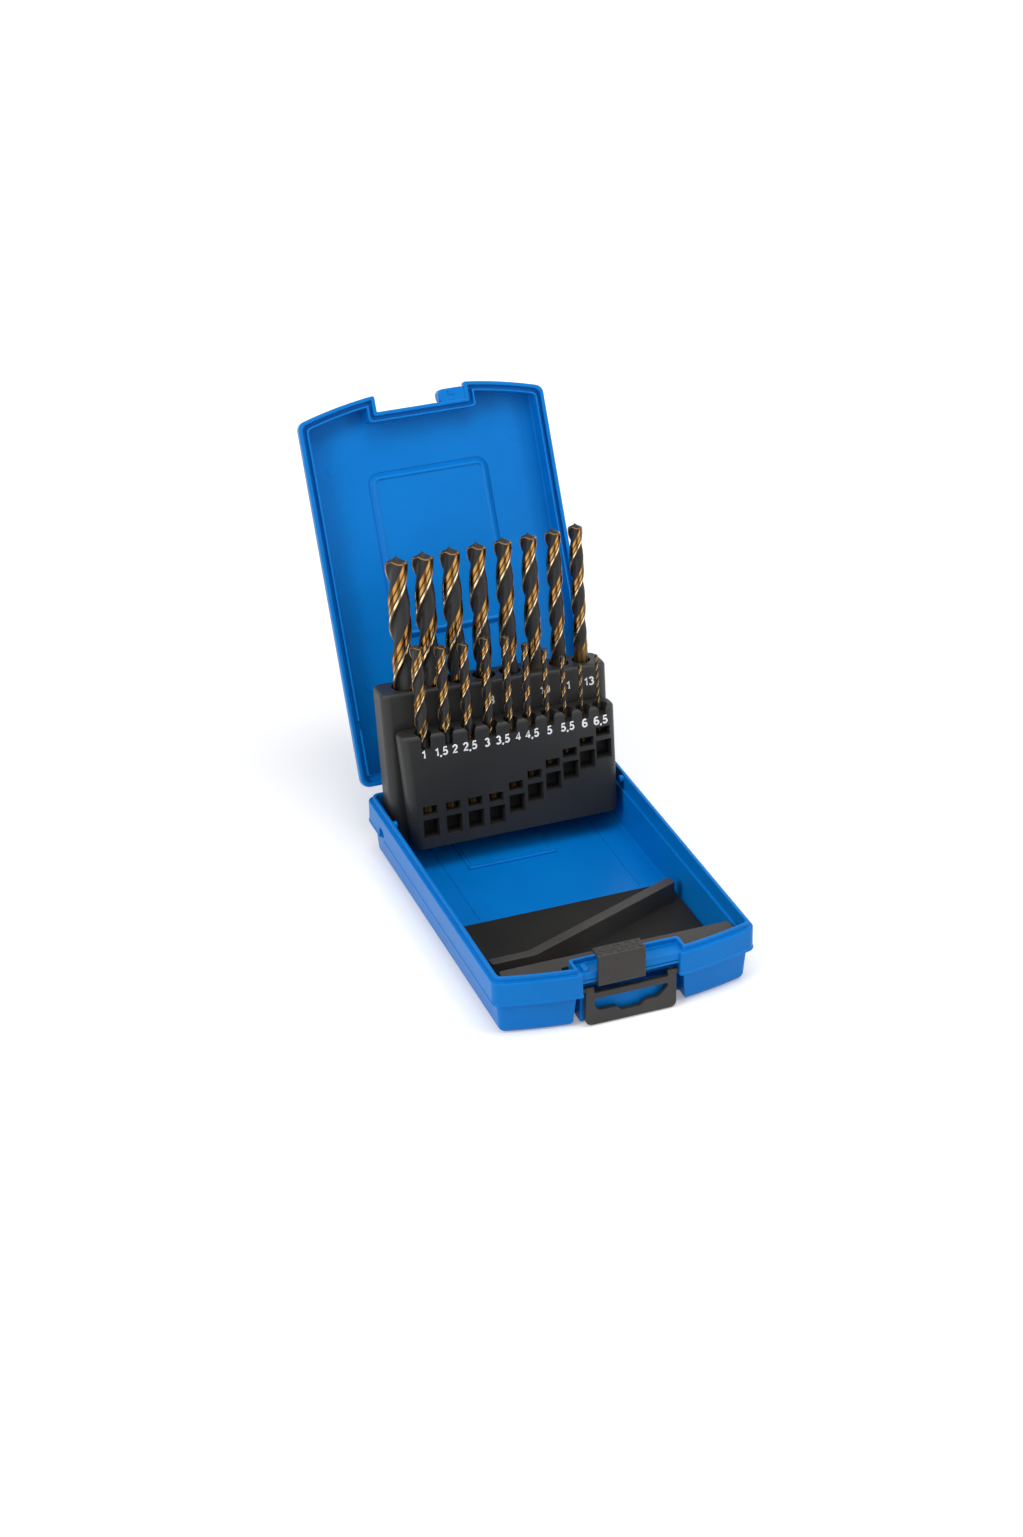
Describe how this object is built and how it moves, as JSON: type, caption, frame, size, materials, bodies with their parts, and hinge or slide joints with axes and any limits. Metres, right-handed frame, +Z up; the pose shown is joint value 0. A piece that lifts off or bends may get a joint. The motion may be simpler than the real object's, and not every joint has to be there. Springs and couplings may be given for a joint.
{
  "type": "drill bit case",
  "caption": "Hinged plastic case standing open, with a stepped tilting holder for twist drills, a sliding latch clip and a hanging handle.",
  "frame": {"origin": "middle of the tray's flat underside", "axes": "+X to the right seen from the latch, +Y from the latch to the hinge, +Z up"},
  "size_m": [0.116, 0.2579, 0.1828],
  "materials": {
    "blue_plastic": "moulded blue plastic, satin",
    "black_plastic": "moulded black plastic, matte",
    "steel": "plain steel wire pin",
    "drill_steel": "high speed steel, black oxide flutes and bronze lands"
  },
  "bodies": {
    "case": {"base_shell": "blue_plastic", "hinge_pin_left": "steel", "hinge_pin_right": "steel", "tip_tray": "black_plastic"},
    "lid": {"lid_shell": "blue_plastic"},
    "holder": {"rear_drill_block": "black_plastic", "front_drill_block": "black_plastic"},
    "latch": {"latch_clip": "black_plastic"},
    "handle_body": {"handle": "black_plastic"},
    "drill_10_0": {"drill_10_0": "drill_steel"},
    "drill_9_5": {"drill_9_5": "drill_steel"},
    "drill_9_0": {"drill_9_0": "drill_steel"},
    "drill_8_5": {"drill_8_5": "drill_steel"},
    "drill_8_0": {"drill_8_0": "drill_steel"},
    "drill_7_5": {"drill_7_5": "drill_steel"},
    "drill_7_0": {"drill_7_0": "drill_steel"},
    "drill_6_5": {"drill_6_5": "drill_steel"},
    "drill_6_0": {"drill_6_0": "drill_steel"},
    "drill_5_5": {"drill_5_5": "drill_steel"},
    "drill_5_0": {"drill_5_0": "drill_steel"},
    "drill_4_5": {"drill_4_5": "drill_steel"},
    "drill_4_0": {"drill_4_0": "drill_steel"},
    "drill_3_5": {"drill_3_5": "drill_steel"},
    "drill_3_0": {"drill_3_0": "drill_steel"},
    "drill_2_5": {"drill_2_5": "drill_steel"},
    "drill_2_0": {"drill_2_0": "drill_steel"},
    "drill_1_5": {"drill_1_5": "drill_steel"}
  },
  "joints": [
    {"name": "lid_hinge", "type": "hinge", "parent": "case", "child": "lid", "pos_m": [0, 0.0846, 0.02635], "axis": [-1, 0, 0], "range_deg": [-116, 0]},
    {"name": "holder_tilt", "type": "hinge", "parent": "case", "child": "holder", "pos_m": [0, 0.0612, 0.0179], "axis": [-1, 0, 0], "range_deg": [-95.25, 0]},
    {"name": "latch_slide", "type": "slide", "parent": "case", "child": "latch", "axis": [1, 0, 0], "range_m": [-0.0055, 0.0145]},
    {"name": "handle_swing", "type": "hinge", "parent": "case", "child": "handle_body", "pos_m": [0, -0.0866, 0.0173], "axis": [-1, 0, 0], "range_deg": [0, 90]},
    {"name": "drill_10_0_pull", "type": "slide", "parent": "holder", "child": "drill_10_0", "axis": [0, 0.0915, 0.9958], "range_m": [0, 0.07]},
    {"name": "drill_9_5_pull", "type": "slide", "parent": "holder", "child": "drill_9_5", "axis": [0, 0.0915, 0.9958], "range_m": [0, 0.064]},
    {"name": "drill_9_0_pull", "type": "slide", "parent": "holder", "child": "drill_9_0", "axis": [0, 0.0915, 0.9958], "range_m": [0, 0.064]},
    {"name": "drill_8_5_pull", "type": "slide", "parent": "holder", "child": "drill_8_5", "axis": [0, 0.0915, 0.9958], "range_m": [0, 0.056]},
    {"name": "drill_8_0_pull", "type": "slide", "parent": "holder", "child": "drill_8_0", "axis": [0, 0.0915, 0.9958], "range_m": [0, 0.056]},
    {"name": "drill_7_5_pull", "type": "slide", "parent": "holder", "child": "drill_7_5", "axis": [0, 0.0915, 0.9958], "range_m": [0, 0.048]},
    {"name": "drill_7_0_pull", "type": "slide", "parent": "holder", "child": "drill_7_0", "axis": [0, 0.0915, 0.9958], "range_m": [0, 0.048]},
    {"name": "drill_6_5_pull", "type": "slide", "parent": "holder", "child": "drill_6_5", "axis": [0, 0.0915, 0.9958], "range_m": [0, 0.0395]},
    {"name": "drill_6_0_pull", "type": "slide", "parent": "holder", "child": "drill_6_0", "axis": [0, 0.0915, 0.9958], "range_m": [0, 0.0365]},
    {"name": "drill_5_5_pull", "type": "slide", "parent": "holder", "child": "drill_5_5", "axis": [0, 0.0915, 0.9958], "range_m": [0, 0.0365]},
    {"name": "drill_5_0_pull", "type": "slide", "parent": "holder", "child": "drill_5_0", "axis": [0, 0.0915, 0.9958], "range_m": [0, 0.0365]},
    {"name": "drill_4_5_pull", "type": "slide", "parent": "holder", "child": "drill_4_5", "axis": [0, 0.0915, 0.9958], "range_m": [0, 0.0365]},
    {"name": "drill_4_0_pull", "type": "slide", "parent": "holder", "child": "drill_4_0", "axis": [0, 0.0915, 0.9958], "range_m": [0, 0.0329]},
    {"name": "drill_3_5_pull", "type": "slide", "parent": "holder", "child": "drill_3_5", "axis": [0, 0.0915, 0.9958], "range_m": [0, 0.0293]},
    {"name": "drill_3_0_pull", "type": "slide", "parent": "holder", "child": "drill_3_0", "axis": [0, 0.0915, 0.9958], "range_m": [0, 0.0257]},
    {"name": "drill_2_5_pull", "type": "slide", "parent": "holder", "child": "drill_2_5", "axis": [0, 0.0915, 0.9958], "range_m": [0, 0.0221]},
    {"name": "drill_2_0_pull", "type": "slide", "parent": "holder", "child": "drill_2_0", "axis": [0, 0.0915, 0.9958], "range_m": [0, 0.0185]},
    {"name": "drill_1_5_pull", "type": "slide", "parent": "holder", "child": "drill_1_5", "axis": [0, 0.0915, 0.9958], "range_m": [0, 0.0149]}
  ],
  "couplings": [
    {"joint": "holder_tilt", "follows": "lid_hinge", "ratio": 0.82112}
  ]
}
